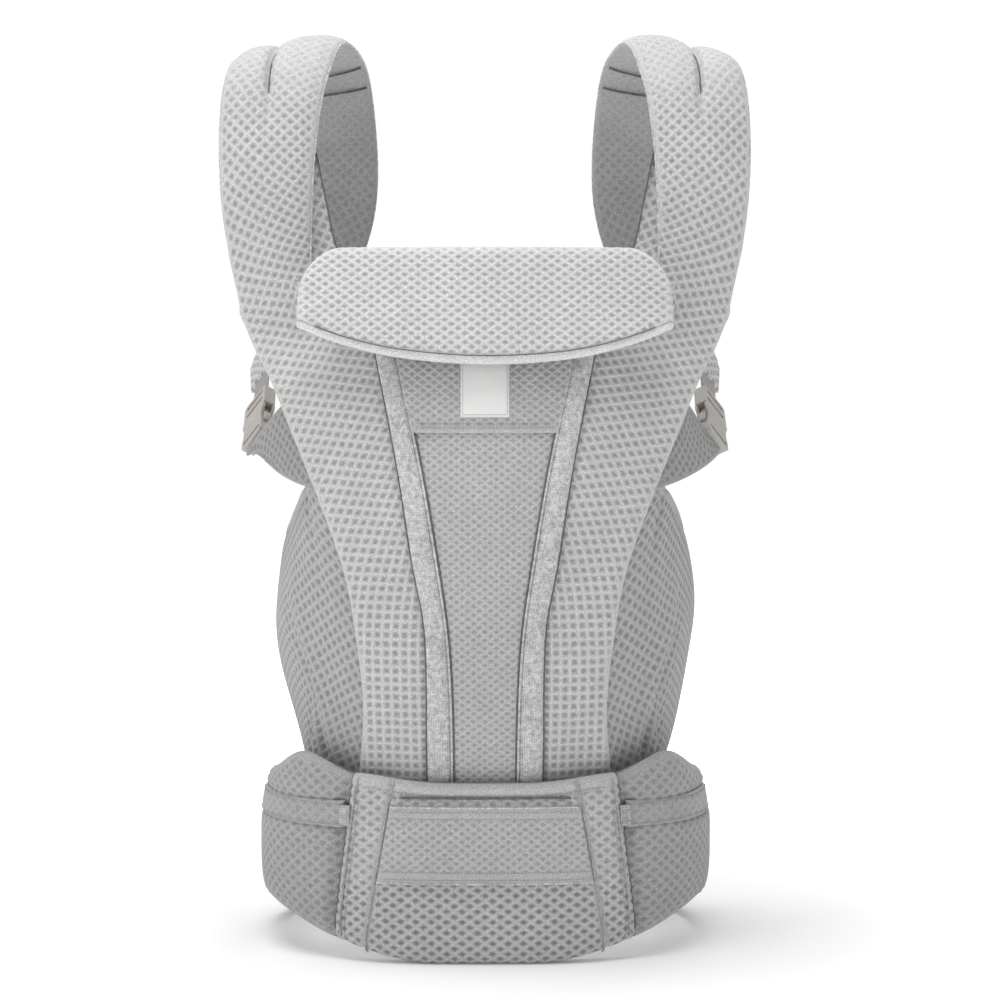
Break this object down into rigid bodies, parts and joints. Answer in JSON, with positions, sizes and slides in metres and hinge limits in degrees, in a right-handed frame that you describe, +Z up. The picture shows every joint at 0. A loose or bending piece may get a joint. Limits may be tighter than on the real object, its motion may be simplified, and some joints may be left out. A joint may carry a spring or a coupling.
{
  "type": "soft baby carrier",
  "caption": "Wearable soft baby carrier with a padded waistband, bulging mesh panel with seat wings, fold-down head support, padded shoulder straps and side-release buckles.",
  "frame": {"origin": "centre of the bounding box at the floor, under the space that the wearer's waist fills", "axes": "+X to the right of a viewer who faces the front panel, -Y out of the front panel, +Z up"},
  "size_m": [0.4244, 0.3377, 0.729],
  "materials": {
    "mesh_fabric": "light grey three-dimensional air mesh",
    "smooth_knit": "light grey smooth fine knit",
    "lining_fabric": "grey soft mesh lining",
    "foam": "soft closed-cell foam",
    "webbing": "woven polyester webbing",
    "buckle_plastic": "satin moulded acetal",
    "button_plastic": "satin moulded acetal",
    "label_fabric": "white woven label"
  },
  "bodies": {
    "carrier": {"panel_lining": "lining_fabric", "center_panel": "mesh_fabric", "pocket_yoke": "mesh_fabric", "label_tag": "label_fabric", "tunnel_strip_left": "smooth_knit", "side_flank_left": "mesh_fabric", "seat_wing_left": "mesh_fabric", "tunnel_strip_right": "smooth_knit", "side_flank_right": "mesh_fabric", "seat_wing_right": "mesh_fabric", "waistband_front_cover": "mesh_fabric", "waistband_lining": "lining_fabric", "waistband_foam": "foam", "waist_pocket_panel": "mesh_fabric", "waistband_wing_cover_left": "mesh_fabric", "seat_adjuster_band_left": "webbing", "seat_adjuster_tab_left": "webbing", "waistband_wing_cover_right": "mesh_fabric", "seat_adjuster_band_right": "webbing", "seat_adjuster_tab_right": "webbing", "shoulder_strap_cover_left": "mesh_fabric", "shoulder_strap_lining_left": "lining_fabric", "shoulder_strap_foam_left": "foam", "shoulder_strap_cover_right": "mesh_fabric", "shoulder_strap_lining_right": "lining_fabric", "shoulder_strap_foam_right": "foam", "side_buckle_left_female": "buckle_plastic", "side_tab_left": "mesh_fabric", "side_buckle_right_female": "buckle_plastic", "side_tab_right": "mesh_fabric", "chest_rail_left": "webbing", "chest_rail_right": "webbing", "waist_webbing_left": "webbing", "waist_webbing_right": "webbing", "waist_buckle_female": "buckle_plastic", "waist_webbing_keeper": "webbing"},
    "head_support": {"head_support_front_cover": "mesh_fabric", "head_support_back_cover": "lining_fabric", "head_support_foam": "foam"},
    "chest_strap": {"chest_slider_left": "buckle_plastic", "chest_slider_right": "buckle_plastic", "chest_webbing_left": "webbing", "chest_buckle_female": "buckle_plastic"},
    "chest_male": {"chest_buckle_male": "buckle_plastic", "chest_webbing_right": "webbing"},
    "chest_prong_a": {"chest_buckle_prong_a": "buckle_plastic"},
    "chest_prong_b": {"chest_buckle_prong_b": "buckle_plastic"},
    "waist_male": {"waist_buckle_male": "buckle_plastic", "waist_webbing_tail": "webbing"},
    "waist_prong_a": {"waist_buckle_prong_a": "buckle_plastic"},
    "waist_prong_b": {"waist_buckle_prong_b": "buckle_plastic"},
    "waist_lock_button": {"waist_buckle_lock_button": "button_plastic"},
    "side_male_left": {"side_buckle_left_male": "buckle_plastic", "side_webbing_left": "webbing"},
    "side_prong_a_left": {"side_buckle_left_prong_a": "buckle_plastic"},
    "side_prong_b_left": {"side_buckle_left_prong_b": "buckle_plastic"},
    "side_male_right": {"side_buckle_right_male": "buckle_plastic", "side_webbing_right": "webbing"},
    "side_prong_a_right": {"side_buckle_right_prong_a": "buckle_plastic"},
    "side_prong_b_right": {"side_buckle_right_prong_b": "buckle_plastic"}
  },
  "joints": [
    {"name": "head_support_fold", "type": "hinge", "parent": "carrier", "child": "head_support", "pos_m": [0, -0.118, 0.546], "axis": [-1, 0, 0], "range_deg": [0, 165]},
    {"name": "side_buckle_left_release", "type": "slide", "parent": "carrier", "child": "side_male_left", "axis": [0, 0.7637, 0.6455], "range_m": [0, 0.022]},
    {"name": "side_buckle_left_squeeze_a", "type": "hinge", "parent": "side_male_left", "child": "side_prong_a_left", "pos_m": [-0.19009, 0.01061, 0.41227], "axis": [-0.8443, -0.346, 0.4093], "range_deg": [0, 5], "stiffness_Nm_per_rad": 0.05},
    {"name": "side_buckle_left_squeeze_b", "type": "hinge", "parent": "side_male_left", "child": "side_prong_b_left", "pos_m": [-0.17991, 0.00025, 0.42453], "axis": [-0.8443, -0.346, 0.4093], "range_deg": [-5, 0], "stiffness_Nm_per_rad": 0.05},
    {"name": "side_buckle_right_release", "type": "slide", "parent": "carrier", "child": "side_male_right", "axis": [0, 0.7637, 0.6455], "range_m": [0, 0.022]},
    {"name": "side_buckle_right_squeeze_a", "type": "hinge", "parent": "side_male_right", "child": "side_prong_a_right", "pos_m": [0.17991, 0.00025, 0.42453], "axis": [0.8443, -0.346, 0.4093], "range_deg": [0, 5], "stiffness_Nm_per_rad": 0.05},
    {"name": "side_buckle_right_squeeze_b", "type": "hinge", "parent": "side_male_right", "child": "side_prong_b_right", "pos_m": [0.19009, 0.01061, 0.41227], "axis": [0.8443, -0.346, 0.4093], "range_deg": [-5, 0], "stiffness_Nm_per_rad": 0.05},
    {"name": "chest_strap_height", "type": "slide", "parent": "carrier", "child": "chest_strap", "axis": [0, 0, 1], "range_m": [0, 0.05]},
    {"name": "chest_buckle_release", "type": "slide", "parent": "chest_strap", "child": "chest_male", "axis": [1, 0, 0], "range_m": [0, 0.02]},
    {"name": "chest_buckle_squeeze_a", "type": "hinge", "parent": "chest_male", "child": "chest_prong_a", "pos_m": [-0.0005, 0.1435, 0.539], "axis": [0, 1, 0], "range_deg": [0, 5], "stiffness_Nm_per_rad": 0.05},
    {"name": "chest_buckle_squeeze_b", "type": "hinge", "parent": "chest_male", "child": "chest_prong_b", "pos_m": [-0.0005, 0.1435, 0.553], "axis": [0, 1, 0], "range_deg": [-5, 0], "stiffness_Nm_per_rad": 0.05},
    {"name": "waist_buckle_release", "type": "slide", "parent": "carrier", "child": "waist_male", "axis": [1, 0, 0], "range_m": [0, 0.029]},
    {"name": "waist_buckle_squeeze_a", "type": "hinge", "parent": "waist_male", "child": "waist_prong_a", "pos_m": [-0.0005, 0.161, 0.033], "axis": [0, 1, 0], "range_deg": [0, 5], "stiffness_Nm_per_rad": 0.05},
    {"name": "waist_buckle_squeeze_b", "type": "hinge", "parent": "waist_male", "child": "waist_prong_b", "pos_m": [-0.0005, 0.161, 0.067], "axis": [0, 1, 0], "range_deg": [-5, 0], "stiffness_Nm_per_rad": 0.05},
    {"name": "waist_lock_press", "type": "slide", "parent": "carrier", "child": "waist_lock_button", "axis": [0, -1, 0], "range_m": [0, 0.002], "stiffness_N_per_m": 300}
  ],
  "couplings": [
    {"joint": "side_buckle_left_squeeze_b", "follows": "side_buckle_left_squeeze_a", "ratio": -1},
    {"joint": "side_buckle_right_squeeze_b", "follows": "side_buckle_right_squeeze_a", "ratio": -1},
    {"joint": "chest_buckle_squeeze_b", "follows": "chest_buckle_squeeze_a", "ratio": -1},
    {"joint": "waist_buckle_squeeze_b", "follows": "waist_buckle_squeeze_a", "ratio": -1}
  ]
}
